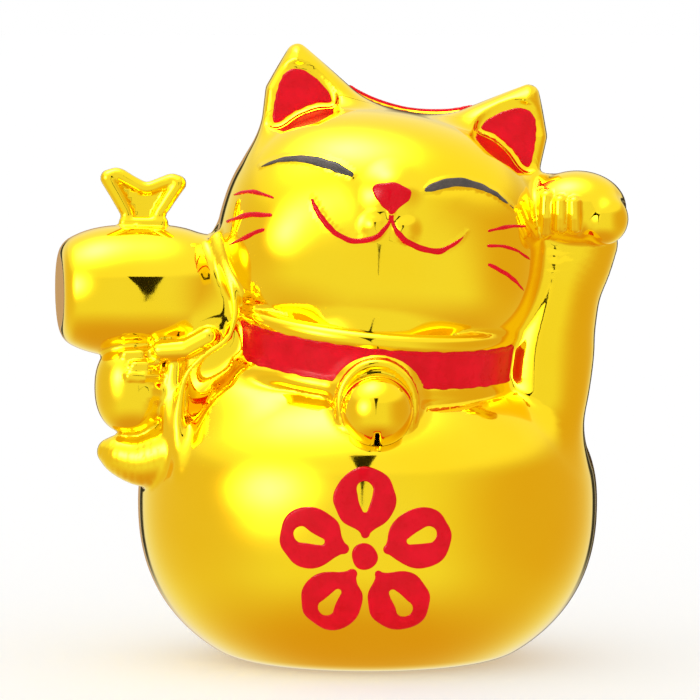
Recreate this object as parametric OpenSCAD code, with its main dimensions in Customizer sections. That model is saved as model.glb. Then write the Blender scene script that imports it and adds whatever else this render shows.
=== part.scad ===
// Beckoning cat money bank. A hollow plated figure in two halves, front and
// rear, with a bell, a base plate, a pull-out stopper and painted films.
// It stands on z = 0 and looks towards -Y; X runs to the viewer's right.

/* [Body] */
// Width of the belly
belly_w = 95.6; // [90:0.2:100]
// Depth of the belly, front to back
belly_d = 80; // [74:1:86]
// Height of the belly's widest point
belly_z = 33; // [31:0.5:35]

/* [Head] */
// Width of the head
head_w = 65.2; // [62:0.2:68]
// Depth of the head, front to back
head_d = 55; // [50:1:60]
// Height of the head, without the ears
head_h = 47.2; // [45:0.2:50]
// Height of the head's centre
head_z = 91; // [89:0.5:93]
// Sideways tilt of the head, in degrees
head_tilt = 10; // [6:1:12]
// Height of an ear's tip above the head's centre
ear_h = 31.2; // [28:0.2:34]

/* [Collar and bell] */
// Outer radius of the collar
collar_r = 30.2; // [29:0.1:31]
// Height of the collar's painted band
band_h = 7.8; // [6:0.2:9]
// Radius of the bell
bell_r = 7.4; // [6:0.1:8]

/* [Mallet] */
// Length of the mallet's barrel
barrel_l = 32.8; // [30:0.4:36]
// Radius of the barrel at its middle
barrel_r = 13.6; // [12:0.2:15]
// Radius of the barrel at its ends
barrel_end_r = 9.6; // [9:0.2:12]

/* [Shell] */
// Wall thickness
wall = 2.2; // [1.8:0.1:2.6]
// Width of the coin slot
slot_w = 5; // [4.5:0.1:5.5]
// Length of the coin slot
slot_l = 28; // [24:1:32]

/* [Base] */
// Radius of the base plate
plate_r = 18; // [16:0.5:18.5]
// Radius of the stopper's hole
stopper_r = 10.5; // [9:0.5:12]
// Thickness of the base plate
plate_t = 2.2; // [1.8:0.1:2.6]

/* [Paint] */
// Thickness of each painted film
paint_t = 0.2; // [0.1:0.05:0.3]

/* [Hidden] */

gold = "gold";
red = "crimson";
eye_grey = "dimgray";

// The two halves meet on this plane
part_y = -4;
// A length beyond the figure on every side
far = 200;
// Facets of the big round forms, their hollows, the limbs and the small lobes
fn_big = 44;
fn_hollow = 30;
fn_limb = 18;
fn_lobe = 10;

belly_c = [5, 0, belly_z];
belly_top = 31;
belly_low = belly_z + 5;
belly_power = 2.3;
neck_c = [6, -1, 65];
neck_size = [27.6, 26, 18];
head_c = [9, -2, head_z];
head_power = 2.25;
head_low = 36;
head_low_power = 2.6;

collar_c = [6.3, -1, 66.9];
collar_pitch = 6;
collar_roll = 5.5;
collar_lip = 1.4;
bell_c = [6.8, -34.5, 55.4];
seat_c = [6.8, -30, 56.4];
peg_r = 2.4;
peg_l = 1;

ear_x = 24.7;
ear_lean = 14;
ear_floor = 1.3;

barrel_c = [-42.3, -6, 77.4];
barrel_yaw = 10.2;
slot_y = 10.5;
fit_gap = 0.05;
plate_x = 4.6;

// ---- general forms

// Egg of revolution about Z, then squashed in Y; power 2 is an ellipse
module egg(r, low, power, fn = fn_big, low_power = 0) {
  steps = floor(fn / 2.6);
  base_power = low_power > 0 ? low_power : power;
  hull()
    scale([1, r.y / r.x, 1])
      rotate_extrude($fn = fn)
        polygon([for (i = [0 : steps])
          let (a = -90 + 180 * i / steps, rz = a < 0 ? low : r.z, n = a < 0 ? base_power : power)
          [r.x * pow(cos(a), 2 / n), rz * sign(a) * pow(abs(sin(a)), 2 / n)]]);
}

module ball(r, fn = fn_limb) {
  sphere(r = r, $fn = fn);
}

// Chain of balls: each knot is [x, y, z, radius]
module limb(knots, g = 0, fn = fn_limb) {
  for (i = [0 : len(knots) - 2])
    hull()
      for (k = [knots[i], knots[i + 1]])
        translate([k.x, k.y, k.z])
          ball(k[3] + g, fn);
}

// Painted stroke in the plane: each knot is [x, y, half width]
module stroke(knots) {
  for (i = [0 : len(knots) - 2])
    hull()
      for (k = [knots[i], knots[i + 1]])
        translate([k.x, k.y])
          circle(r = k[2], $fn = 8);
}

// Knots of a curved stroke through three points, thin at both ends
function bend(a, b, c, t) =
  let (u = 1 - t) u * u * a + 2 * u * t * b + t * t * c;
function arc_knots(a, b, c, thick, heel, n = 7) =
  [for (i = [0 : n])
    let (t = i / n, p = bend(a, b, c, t))
    [p.x, p.y, thick * (0.25 + 0.75 * pow(sin(180 * pow(t, heel)), 0.8))]];

// Stands a plane drawing up to face forwards, from the front to mid depth
module facing(depth = far) {
  rotate([90, 0, 0])
    linear_extrude(height = depth)
      children();
}

module in_head() {
  translate(head_c)
    rotate([0, head_tilt, 0])
      children();
}

// ---- the figure's solid form, grown by g

module belly_form(g, fn = fn_big) {
  intersection() {
    translate(belly_c)
      egg([belly_w / 2 + g, belly_d / 2 + g, belly_top + g], belly_low + g, belly_power, fn);
    translate([-far, -far, -g])
      cube([2 * far, 2 * far, far]);
  }
}

module head_form(g, fn = fn_big) {
  in_head()
    egg([head_w / 2 + g, head_d / 2 + g, head_h / 2 + g], head_low + g, head_power, fn, head_low_power);
}

module neck_form(g) {
  translate(neck_c)
    egg([neck_size.x + g, neck_size.y + g, neck_size.z], neck_size.z, 3, fn_hollow);
}

module ear_form(side) {
  in_head()
    hull() {
      for (p = [[ear_x + 0.4, ear_h - 0.2], [ear_x - 1.7, ear_h]])
        translate([side * p.x, 1.5, p.y])
          ball(2.2);
      for (y = [-1.5, 6])
        translate([side * 24, y, 10])
          ball(5.4);
      for (y = [-1, 6])
        translate([side * 12.2, y, 18.5])
          ball(5);
    }
}

function raised_arm_knots() = [
  [40, -7.5, 45, 7.6], [42.7, -6.2, 57, 8.1], [44.1, -4.7, 70, 8], [45.4, -4.8, 77, 7.7], [49.8, -6, 87, 6.8]
];
raised_paw_c = [48, -7.5, 94.4];

module raised_arm_form(g) {
  limb(raised_arm_knots(), g);
  translate(raised_paw_c)
    egg([10 + g, 8.8 + g, 7.8 + g], 7.8 + g, 2.2, fn_hollow);
}

// Web that joins the arm to the head and the neck
module raised_web_form() {
  limb([
    [38, -5, 52, 7], [39, -6, 60, 7], [39.8, -6, 66, 6.9], [42, -6, 74, 6.6],
    [43, -6, 82, 5.6], [42, -5, 90, 4.8], [41.5, -3.8, 97, 4.4]
  ]);
}

// Knuckles of the raised paw, and the ball of its thumb
module fingers_form() {
  for (f = [[41.4, -14.1, 1.7], [44.2, -15.6, 1.5], [47, -16.1, 1.5]])
    limb([[f.x, f.y, 96.4, f[2]], [f.x, f.y, 90.8, f[2]]], 0, fn_lobe);
  translate([53.2, -11.6, 92.5])
    ball(5.2);
}

module barrel_form(g) {
  n = 5;
  half = barrel_l / 2 + g;
  rim = 2;
  translate(barrel_c)
    rotate([0, 90, barrel_yaw])
      hull()
        rotate_extrude($fn = fn_hollow)
          polygon(concat(
            [[0, -half], [barrel_end_r + g - rim, -half]],
            [for (i = [-n : n])
              let (t = i / n)
              [barrel_r + g - (barrel_r - barrel_end_r) * pow(abs(t), 3), (half - rim) * t]],
            [[barrel_end_r + g - rim, half], [0, half]]));
}

// Flared knot on top of the mallet, with a raised rim
module finial_form() {
  rim = 1.3;
  tips = [[-48.6, 100.4], [-34.2, 99.2]];
  neck = [[-44.8, 92], [-38.4, 92]];
  dip = [-41.2, 98.4];
  y = barrel_c.y;
  for (i = [0, 1]) {
    limb([[neck[i].x, y, 88, 2.2], [neck[i].x, y, neck[i].y, rim], [tips[i].x, y, tips[i].y, rim + 0.3]], 0, fn_lobe);
    limb([[tips[i].x, y, tips[i].y, rim + 0.3], [dip.x, y, dip.y, rim]], 0, fn_lobe);
    hull()
      for (p = [tips[i], neck[i], dip, [-41.6, 90]])
        translate([p.x, y, p.y])
          rotate([90, 0, 0])
            cylinder(r = 0.8, h = 1.4, center = true, $fn = 12);
  }
}

module holding_paw_form() {
  translate([-43.4, -11.5, 57.8])
    egg([7.8, 7.6, 9.6], 9.6, 2.3, fn_hollow);
}

module holding_arm_form() {
  // Fingers and the heel of the paw
  for (f = [[65, -44.4], [62.8, -42.6], [60.7, -43.6]])
    limb([[f[1], -18.4, f[0], 1.2], [-38.4, -17.2, f[0], 1.2]], 0, fn_lobe);
  limb([[-40, -15.8, 57.4, 2.8], [-38.6, -15.2, 57, 2.8]], 0, fn_lobe);
  // Elbow below the paw
  limb([[-48, -10.5, 44.4, 2.8], [-40.5, -11.5, 43, 5.8], [-35, -12.3, 44.5, 6.8], [-31, -13, 46, 6]]);
  // Strip of fur between the paw and the crest
  limb([[-34.2, -14.5, 64, 2], [-35, -15.8, 52, 2.4], [-33.6, -18, 43.4, 1.5]], 0, fn_lobe);
  // Crest of the upper arm, from the cheek down to the elbow
  limb([
    [-26.4, -10, 88.4, 1.2], [-22.2, -17, 75.5, 1.2], [-23.2, -19.2, 69, 1.2], [-32.2, -19, 60.6, 1.2],
    [-33.4, -18.6, 50, 1.2], [-32.8, -20.5, 42, 1.4]
  ], 0, fn_lobe);
  // Thumb under the mallet
  limb([[-37.2, -15.6, 65.8, 2.2], [-32, -16.6, 66.2, 2.3], [-27.6, -17, 68.6, 2.2]], 0, fn_lobe);
  // Web that fills the space between mallet, arm, neck and belly
  limb([[-27, -5, 42, 9], [-29, -4, 56, 10], [-25, -4, 68, 11], [-23, -3, 82, 8]]);
}

module tail_form() {
  limb([
    [6, 33, 10, 5], [13, 36.5, 14, 5], [17.5, 37, 21, 4.6], [16, 36.6, 28, 4.2], [11, 36, 32, 3.8]
  ]);
}

module collar_place() {
  translate(collar_c)
    rotate([collar_pitch, collar_roll, 0])
      children();
}

module collar_ring(r, half) {
  round_r = 1.6;
  collar_place()
    rotate_extrude($fn = fn_big)
      hull()
        for (z = [-half + round_r, half - round_r])
          translate([r - round_r, z])
            circle(r = round_r, $fn = 12);
}

module collar_form() {
  collar_ring(collar_r, band_h / 2 + collar_lip);
}

// Boss under the bell with the ring the bell sits in
module seat_form() {
  translate(seat_c)
    egg([8.7, 5.2, 9.2], 9.2, 2, fn_hollow);
  translate([bell_c.x, bell_c.y + 1.4, bell_c.z + 1.2])
    scale([1, 1, 1.05])
      rotate([90, 0, 0])
        rotate_extrude($fn = fn_hollow)
          translate([7.5, 0])
            circle(r = 1.1, $fn = 10);
}

module solid_form() {
  belly_form(0);
  neck_form(0);
  head_form(0);
  ear_form(-1);
  ear_form(1);
  raised_arm_form(0);
  raised_web_form();
  fingers_form();
  barrel_form(0);
  finial_form();
  holding_paw_form();
  holding_arm_form();
  tail_form();
  collar_form();
  seat_form();
}

module hollow_form() {
  belly_form(-wall, fn_hollow);
  neck_form(-wall);
  head_form(-wall, fn_hollow);
  raised_arm_form(-wall);
  barrel_form(-wall);
}

// ---- painted outlines, in the plane of the face or of the belly

module ear_outline(side) {
  hull()
    for (p = [[24.4, 26.9, 1.8], [25.8, 17.8, 1.6], [16.6, 23.1, 1.3], [19, 25.6, 1.4]])
      translate([side * p.x, p.y])
        circle(r = p[2], $fn = 16);
}

// Thin curved stroke, broad near the nose
module eye_outline(side) {
  inner = side < 0 ? [-9.3, 9.6] : [6.4, 9.3];
  top = side < 0 ? [-18, 13.6] : [14, 15.2];
  outer = side < 0 ? [-27.4, 7.8] : [24.4, 8.6];
  stroke(arc_knots(inner, top, outer, 0.95, 0.7));
}

module nose_outline() {
  hull()
    for (p = [[-3.2, 8, 1.5], [1.9, 8.1, 1.5], [0, 4.4, 0.9]])
      translate([p.x, p.y])
        circle(r = p[2], $fn = 16);
}

module mouth_outline() {
  stroke([[-0.1, 4.2, 0.5], [0, 1.9, 0.45], [-0.9, 0.3, 0.5]]);
  stroke([[0.2, 2.4, 0.45], [1.4, 0.6, 0.5]]);
  stroke(arc_knots([-0.4, 1], [-7.8, -8.4], [-16.2, 3.4], 0.7, 0.8));
  stroke(arc_knots([0.9, 1], [8.6, -6.8], [16, 2.6], 0.75, 1.1));
}

module whisker_outline(side) {
  rows = side < 0
    ? [[[-32, 1], [-28, 3.6], [-24.4, 2.4]], [[-32.2, -4.6], [-28.4, -1.6], [-24.2, -1.2]],
       [[-31, -9], [-28, -6.2], [-24.9, -4.5]]]
    : [[[20.4, 3.4], [24.2, 5.2], [27.6, 5.2]], [[20.8, 0.5], [25.6, 1], [29.6, -1.3]],
       [[21.6, -3.4], [25.4, -4.2], [29.4, -7.6]]];
  for (w = rows)
    stroke(arc_knots(w[0], w[1], w[2], 0.5, 1, 4));
}

// Five round petals about a ring, the emblem on the belly
module emblem_outline() {
  petal_r = 6.3;
  ring_r = 11.6;
  for (i = [0 : 4])
    rotate(90 + 72 * i)
      translate([ring_r, 0])
        difference() {
          hull() {
            circle(r = petal_r, $fn = 22);
            translate([-6.3, 0])
              circle(r = 1.2, $fn = 12);
          }
          translate([1.6, 0])
            hull() {
              circle(r = 1.7, $fn = 12);
              translate([-4, 0])
                circle(r = 0.6, $fn = 12);
            }
        }
  circle(r = 2.7, $fn = 24);
}

emblem_c = [4.45, 0, 26.45];

module emblem_prism() {
  translate(emblem_c)
    facing()
      emblem_outline();
}

// Region in front of the lean plane of an ear's inner face, at depth d
module ear_front(side, d) {
  in_head()
    translate([0, -6.9 + d, 12])
      rotate([-ear_lean, 0, 0])
        translate([-far, -far, -far])
          cube([2 * far, far, 2 * far]);
}

module ear_prism(side) {
  in_head()
    facing()
      ear_outline(side);
}

module ear_hollow(side) {
  intersection() {
    ear_prism(side);
    ear_front(side, ear_floor);
  }
}

// Arc sector of the collar that carries the band; posts stand round it
module collar_sector() {
  span = 74;
  n = 12;
  reach = 40;
  difference() {
    collar_place()
      for (i = [0 : n - 1])
        hull()
          for (j = [i, i + 1])
            rotate(-90 + span * (2 * j / n - 1)) {
              edge = j == 0 || j == n ? 1.6 : 0;
              translate([collar_r - 3, 0, -band_h / 2 + edge])
                cube([reach - collar_r, 0.01, band_h - 2 * edge]);
            }
    translate(bell_c)
      rotate([90, 0, 0])
        cylinder(r = bell_r + 3.2, h = far, center = true, $fn = 48);
  }
}

// Rounded bar that cuts the slot, or its rim when grown by g
module slot_bar(g) {
  in_head()
    translate([0, slot_y, head_h / 4])
      linear_extrude(height = head_h)
        hull()
          for (x = [-1, 1])
            translate([x * (slot_l - slot_w) / 2, 0])
              circle(r = slot_w / 2 + g, $fn = 20);
}

slot_rim = 1.6;

// ---- shells

module bell_socket() {
  translate(bell_c)
    rotate([90, 0, 0])
      translate([0, 0, -bell_r - peg_l - fit_gap])
        cylinder(r = peg_r + 2 * fit_gap, h = bell_r + peg_l, $fn = 32);
  bell_ball();
}

module base_hole() {
  translate([plate_x, 0, -1])
    cylinder(r = (plate_r + fit_gap) / cos(180 / 64), h = wall + 3, $fn = 64);
}

module whole_shell() {
  difference() {
    solid_form();
    hollow_form();
    ear_hollow(-1);
    ear_hollow(1);
    slot_bar(0);
    bell_socket();
    base_hole();
  }
}

module front_half() {
  translate([-far, -2 * far + part_y, -far])
    cube([2 * far, 2 * far, 2 * far]);
}

module front_shell() {
  color(gold)
    intersection() {
      whole_shell();
      front_half();
    }
}

module rear_shell() {
  color(gold)
    difference() {
      whole_shell();
      front_half();
    }
}

// ---- base

// Disc with an inner flange that rests on the shell's floor
module base_plate() {
  flange = 2.4;
  color(gold)
    translate([plate_x, 0, 0])
      difference() {
        union() {
          cylinder(r = plate_r, h = plate_t + 0.1, $fn = 96);
          translate([0, 0, wall])
            cylinder(r = plate_r + flange, h = 1.6, $fn = 96);
        }
        translate([0, 0, -1])
          cylinder(r = stopper_r, h = plate_t + 5, $fn = 96);
      }
}

// Soft plug with a thin lip under the plate's edge and a finger hollow
module base_stopper() {
  lip = 0.6;
  color("dimgray")
    translate([plate_x, 0, 0])
      rotate_extrude($fn = 96)
        polygon([
          [0, 2.4], [5, 2.4], [7, lip], [stopper_r - 0.05, lip], [stopper_r - 0.05, 4.6],
          [stopper_r - 1, 8], [stopper_r - 3, 8], [stopper_r - 3, 5], [0, 5]
        ]);
}

// ---- bell

module bell_ball() {
  translate(bell_c)
    egg([bell_r, bell_r, bell_r], bell_r, 2, 32);
}

// Ball with a peg at its back that glues into the front shell
module bell() {
  color(gold)
    union() {
      bell_ball();
      translate(bell_c)
        rotate([90, 0, 0])
          translate([0, 0, -bell_r - peg_l])
            cylinder(r = peg_r, h = bell_r + peg_l, $fn = 32);
    }
}

// ---- painted films

// A film lies on the head's surface; the web and the arms keep clear of it
module face_film(tint) {
  color(tint)
    difference() {
      intersection() {
        in_head()
          facing()
            children();
        head_form(paint_t);
      }
      head_form(0);
      holding_arm_form();
      raised_arm_form(0);
      raised_web_form();
    }
}

module ear_film(side) {
  color(red)
    difference() {
      ear_hollow(side);
      ear_front(side, ear_floor - paint_t);
    }
}

module left_ear_paint() {
  ear_film(-1);
}

module right_ear_paint() {
  ear_film(1);
}

module left_eye_paint() {
  face_film(eye_grey)
    eye_outline(-1);
}

module right_eye_paint() {
  face_film(eye_grey)
    eye_outline(1);
}

module nose_paint() {
  face_film(red)
    nose_outline();
}

module mouth_paint() {
  face_film(red)
    difference() {
      mouth_outline();
      nose_outline();
    }
}

module left_whisker_paint() {
  face_film(red)
    whisker_outline(-1);
}

module right_whisker_paint() {
  face_film(red)
    whisker_outline(1);
}

module collar_paint() {
  color(red)
    difference() {
      intersection() {
        collar_sector();
        collar_ring(collar_r + paint_t, band_h / 2 + collar_lip);
      }
      collar_ring(collar_r, band_h / 2 + collar_lip);
      holding_arm_form();
      raised_arm_form(0);
      raised_web_form();
      seat_form();
    }
}

module slot_rim_paint() {
  color(red)
    difference() {
      intersection() {
        slot_bar(slot_rim);
        head_form(paint_t);
      }
      head_form(0);
      slot_bar(0);
    }
}

module belly_emblem() {
  color(red)
    difference() {
      intersection() {
        emblem_prism();
        belly_form(paint_t);
      }
      belly_form(0);
    }
}

front_shell();
rear_shell();
base_plate();
base_stopper();
bell();
left_ear_paint();
right_ear_paint();
left_eye_paint();
right_eye_paint();
nose_paint();
mouth_paint();
left_whisker_paint();
right_whisker_paint();
collar_paint();
slot_rim_paint();
belly_emblem();
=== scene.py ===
"""Beckoning cat money bank: gold-plated shells, enamel paint, bell, base plate and stopper.

The figure's form is a signed distance field in millimetres, in the CAD frame. It is meshed by surface nets
and settled onto the exact field, then cut into the CAD's two shells. The paint films are meshed from the
same field, so they follow every curve below them.
"""

import math

import bpy
import numpy as np
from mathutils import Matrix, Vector


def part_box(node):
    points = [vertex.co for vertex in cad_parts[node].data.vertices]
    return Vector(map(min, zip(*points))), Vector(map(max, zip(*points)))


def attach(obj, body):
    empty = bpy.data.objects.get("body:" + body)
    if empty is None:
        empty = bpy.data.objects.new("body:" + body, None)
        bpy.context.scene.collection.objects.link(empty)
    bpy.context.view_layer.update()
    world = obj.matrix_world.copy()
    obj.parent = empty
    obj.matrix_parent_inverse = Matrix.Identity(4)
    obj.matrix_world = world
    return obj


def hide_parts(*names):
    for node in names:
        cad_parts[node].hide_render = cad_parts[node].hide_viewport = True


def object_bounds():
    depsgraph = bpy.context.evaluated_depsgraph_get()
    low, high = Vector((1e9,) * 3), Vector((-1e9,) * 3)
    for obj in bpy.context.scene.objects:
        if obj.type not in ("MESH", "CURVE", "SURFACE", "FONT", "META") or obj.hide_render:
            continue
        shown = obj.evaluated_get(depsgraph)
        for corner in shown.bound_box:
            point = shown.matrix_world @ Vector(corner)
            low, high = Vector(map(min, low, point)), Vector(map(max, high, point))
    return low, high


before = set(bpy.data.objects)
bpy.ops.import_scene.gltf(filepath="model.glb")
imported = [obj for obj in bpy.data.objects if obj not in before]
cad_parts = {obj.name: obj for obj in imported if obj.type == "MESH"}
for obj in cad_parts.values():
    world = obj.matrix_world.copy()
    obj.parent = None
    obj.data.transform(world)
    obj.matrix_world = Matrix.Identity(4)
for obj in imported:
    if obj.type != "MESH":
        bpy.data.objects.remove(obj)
CAD_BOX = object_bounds()
FLOAT = np.float32

# ---------------------------------------------------------------- measures, all in millimetres

DESIGN_HEIGHT = 128.0
UNIT = (CAD_BOX[1][2] - CAD_BOX[0][2]) / DESIGN_HEIGHT
WALL = 2.2
FILM = 0.25


def in_design(point):
    """A point of the frame, in design millimetres."""
    return np.array(point, float) / UNIT


def cad_centre(node):
    low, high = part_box(node)
    return (in_design(low) + in_design(high)) / 2


def cad_size(node):
    low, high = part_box(node)
    return in_design(high) - in_design(low)


PART_Y = in_design(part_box("rear_shell")[0])[1]
PLATE_C = cad_centre("base_plate")
PLATE_R = cad_size("base_plate")[0] / 2 - 2.4
STOPPER_R = cad_size("base_stopper")[0] / 2

BELLY_C = (5.0, 0.0, 33.0)
BELLY_R = (47.8, 40.0, 31.0)
BELLY_LOW = 38.0
HEAD_C = (9.0, -2.0, 91.0)
HEAD_R = (32.6, 27.5, 23.6)
HEAD_LOW = 36.0
FACE_FALL = 0.004
HEAD_TILT = 10.0
COLLAR_C = (6.3, -1.0, 66.9)
COLLAR_R = 30.2
COLLAR_ROLL = 5.5
COLLAR_PITCH = 6.0
BAND_H = 7.8
BELL_C = (6.8, -34.5, 55.4)
BELL_R = 7.4
BARREL_C = (-42.3, -6.0, 77.4)
BARREL_YAW = 10.6
BARREL_HALF = 16.4
BARREL_R = 13.6
BARREL_END_R = 9.6
SLOT_Y = 10.5
SLOT_W = 5.0
SLOT_L = 28.0
SLOT_RIM = 1.6

# Metres from the camera to the figure, and the width it sees there; degrees it looks down
CAMERA_FAR = 1.0
CAMERA_WIDTH = 0.1456
CAMERA_DOWN = 5.0
CAMERA_AIM = (1.35, 0.0, 64.5)

# ---------------------------------------------------------------- distance fields


def turned(p, centre, roll=0.0, pitch=0.0):
    """Points in a frame at centre, rolled clockwise from the front, then pitched down at the front."""
    q = p - np.array(centre, FLOAT)
    if roll:
        c, s = math.cos(math.radians(roll)), math.sin(math.radians(roll))
        q = np.stack([c * q[:, 0] - s * q[:, 2], q[:, 1], s * q[:, 0] + c * q[:, 2]], 1)
    if pitch:
        c, s = math.cos(math.radians(pitch)), math.sin(math.radians(pitch))
        q = np.stack([q[:, 0], c * q[:, 1] + s * q[:, 2], -s * q[:, 1] + c * q[:, 2]], 1)
    return q


def egg(q, radii, power=2.0, low=None):
    """Egg of revolution squashed in Y; low is its radius below the centre."""
    rx, ry, rz = radii
    if low:
        rz = np.where(q[:, 2] < 0, low, rz)
    x, y, z = q[:, 0] / rx, q[:, 1] / ry, np.abs(q[:, 2]) / rz
    rho = np.sqrt(x * x + y * y) + 1e-5
    slope = np.sqrt((x / rx) ** 2 + (y / ry) ** 2) / rho
    f = (rho**power + z**power) ** (1 / power) + 1e-5
    gx = (rho / f) ** (power - 1) * slope
    gz = (z / f) ** (power - 1) / rz
    return (f - 1) / np.sqrt(gx * gx + gz * gz + 1e-8)


def limb(p, knots):
    """Chain of round cones; each knot is x, y, z, radius."""
    out = np.full(len(p), 1e3, FLOAT)
    for a, b in zip(knots, knots[1:]):
        start = np.array(a[:3], FLOAT)
        along = np.array(b[:3], FLOAT) - start
        rel = p - start
        t = np.clip(rel @ along / float(along @ along), 0, 1)
        gap = rel - t[:, None] * along
        d = np.sqrt((gap * gap).sum(1)) - (a[3] + t * (b[3] - a[3]))
        out = np.minimum(out, d)
    return out


def ball(p, centre, radius):
    q = p - np.array(centre, FLOAT)
    return np.sqrt((q * q).sum(1)) - radius


def polygon(u, v, points):
    """Signed distance to a polygon in the plane."""
    d = np.full(len(u), 1e9, FLOAT)
    sign = np.ones(len(u), FLOAT)
    for i in range(len(points)):
        (ax, ay), (bx, by) = points[i], points[i - 1]
        ex, ey = bx - ax, by - ay
        wx, wy = u - ax, v - ay
        t = np.clip((wx * ex + wy * ey) / (ex * ex + ey * ey), 0, 1)
        d = np.minimum(d, (wx - t * ex) ** 2 + (wy - t * ey) ** 2)
        up, down, left = v >= ay, v < by, ex * wy > ey * wx
        sign = np.where((up & down & left) | (~up & ~down & ~left), -sign, sign)
    return sign * np.sqrt(d)


def stroke(u, v, knots):
    """Signed distance to a painted stroke; each knot is u, v, half width."""
    out = np.full(len(u), 1e3, FLOAT)
    for (ax, ay, ar), (bx, by, br) in zip(knots, knots[1:]):
        ex, ey = bx - ax, by - ay
        t = np.clip(((u - ax) * ex + (v - ay) * ey) / (ex * ex + ey * ey), 0, 1)
        out = np.minimum(out, np.hypot(u - ax - t * ex, v - ay - t * ey) - (ar + t * (br - ar)))
    return out


def join(a, b, k):
    """Smooth union: k is the width of the blend."""
    h = np.maximum(k - np.abs(a - b), 0) / k
    return np.minimum(a, b) - h * h * k * 0.25


def meet(a, b, k):
    return -join(-a, -b, k)


def carve(a, b, k):
    return meet(a, -b, k)


def emboss(d, outline, height):
    """Raises the form softly inside the outline."""
    t = np.clip(0.5 - outline / 0.9, 0, 1)
    return d - height * t * t * (3 - 2 * t)


def between(a, b, c, d, t):
    """Point of the smooth curve from b to c; a and d are the neighbours."""
    return 0.5 * (2 * b + (c - a) * t + (2 * a - 5 * b + 4 * c - d) * t**2 + (3 * b - a - 3 * c + d) * t**3)


def spline(points, per=4):
    """Smooth curve through rows of numbers."""
    p = np.array(points, float)
    p = np.vstack([2 * p[0] - p[1], p, 2 * p[-1] - p[-2]])
    steps = np.linspace(0, 1, per, endpoint=False)
    out = [between(*p[i - 1 : i + 3], t) for i in range(1, len(p) - 2) for t in steps]
    return np.array(out + [p[-2]])


def closed_spline(points, per=3):
    """Smooth loop through points of the plane."""
    p = np.array(points, float)
    n = len(p)
    steps = np.linspace(0, 1, per, endpoint=False)
    return [between(p[i - 1], p[i], p[(i + 1) % n], p[(i + 2) % n], t) for i in range(n) for t in steps]


# ---------------------------------------------------------------- the figure's form


class Form:
    """Lumps joined or carved in order; each knows the ball it fits in, so far ones are skipped."""

    def __init__(self):
        self.lumps = []

    def add(self, shape, centre, reach, blend, how=join):
        self.lumps.append((shape, np.array(centre, FLOAT), reach, blend, how))

    def near(self, low, high, margin):
        middle, half = (low + high) / 2, (high - low) / 2
        kept = []
        for lump in self.lumps:
            gap = np.maximum(np.abs(lump[1] - middle) - half, 0)
            if float(np.sqrt((gap * gap).sum())) <= lump[2] + lump[3] + margin:
                kept.append(lump)
        return kept

    def __call__(self, p, lumps=None):
        p = np.asarray(p, FLOAT)
        d = np.full(len(p), 1e3, FLOAT)
        for shape, _, _, blend, how in self.lumps if lumps is None else lumps:
            d = how(d, shape(p), blend)
        return d


def belly(p):
    return meet(egg(turned(p, BELLY_C), BELLY_R, 2.3, BELLY_LOW), -p[:, 2], 2.5)


def head(p):
    """Egg whose face falls back a little below the mouth."""
    q = turned(p, HEAD_C, HEAD_TILT)
    q[:, 1] -= FACE_FALL * np.minimum(q[:, 2], 0) ** 2 * np.clip(-q[:, 1] / 20, 0, 1)
    return egg(q, HEAD_R, np.where(q[:, 2] < 0, 2.6, 2.25), HEAD_LOW)


def neck(p):
    return egg(turned(p, (6.0, -1.0, 65.0)), (27.6, 26.0, 18.0), 3.0)


EAR_EDGE = [(24.3, 31.2), (27.2, 23.0), (26.4, 10.0), (18.0, 2.0), (5.0, 18.9)]
EAR_PAINT = [(24.2, 28.7), (26.8, 26.6), (27.7, 21.0), (27.2, 16.6), (25.2, 16.6), (22.3, 19.4),
             (18.5, 21.6), (15.2, 22.6), (16.6, 25.2), (20.5, 28.0)]


def ear_frame(p, side):
    """Sideways, forward-back and upward places on an ear, and half the ear's thickness there."""
    q = turned(p, HEAD_C, HEAD_TILT)
    rise = np.clip((q[:, 2] - 8) / 25, 0, 1)
    return q[:, 0] * side, q[:, 1] - 3.0, q[:, 2], 9.5 - 6.5 * rise


def ear(p, side):
    u, y, v, half = ear_frame(p, side)
    return meet(polygon(u, v, EAR_EDGE) - 2.4, np.abs(y) - half, 5.0)


def ear_hollow(p, side):
    u, y, v, half = ear_frame(p, side)
    return meet(ear_outline(u, v) - 0.6, y + half - 1.4, 1.2)


def ear_outline(u, v):
    return polygon(u, v, closed_spline(EAR_PAINT))


def collar(p):
    """Flat band between two round lips."""
    q = turned(p, COLLAR_C, COLLAR_ROLL, COLLAR_PITCH)
    r = np.hypot(q[:, 0], q[:, 1])
    x = np.abs(r - COLLAR_R + 2.0) - 2.0
    z = np.abs(q[:, 2]) - BAND_H / 2 - 1.0
    lip = np.hypot(r - COLLAR_R + 1.1, np.abs(q[:, 2]) - BAND_H / 2 - 1.2) - 1.9
    return join(meet(x, z, 1.6), lip, 0.8)


def bell_ring(p):
    """Ring the bell sits in, a little taller than it's wide."""
    x, z = (p[:, 0] - BELL_C[0]) / 7.4, (p[:, 2] - BELL_C[2] - 1.2) / 8.0
    r = np.hypot(x, z) + 1e-5
    around = (r - 1) / np.sqrt((x / 7.4) ** 2 + (z / 8.0) ** 2) * r
    return np.hypot(around, p[:, 1] - BELL_C[1] - 1.4) - 1.05


def barrel(p):
    c, s = math.cos(math.radians(BARREL_YAW)), math.sin(math.radians(BARREL_YAW))
    q = turned(p, BARREL_C)
    x, y = c * q[:, 0] + s * q[:, 1], -s * q[:, 0] + c * q[:, 1]
    r = BARREL_R - (BARREL_R - BARREL_END_R) * np.abs(x / BARREL_HALF) ** 3
    return meet(np.hypot(y, q[:, 2]) - r, np.abs(x) - BARREL_HALF, 2.4)


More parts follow.
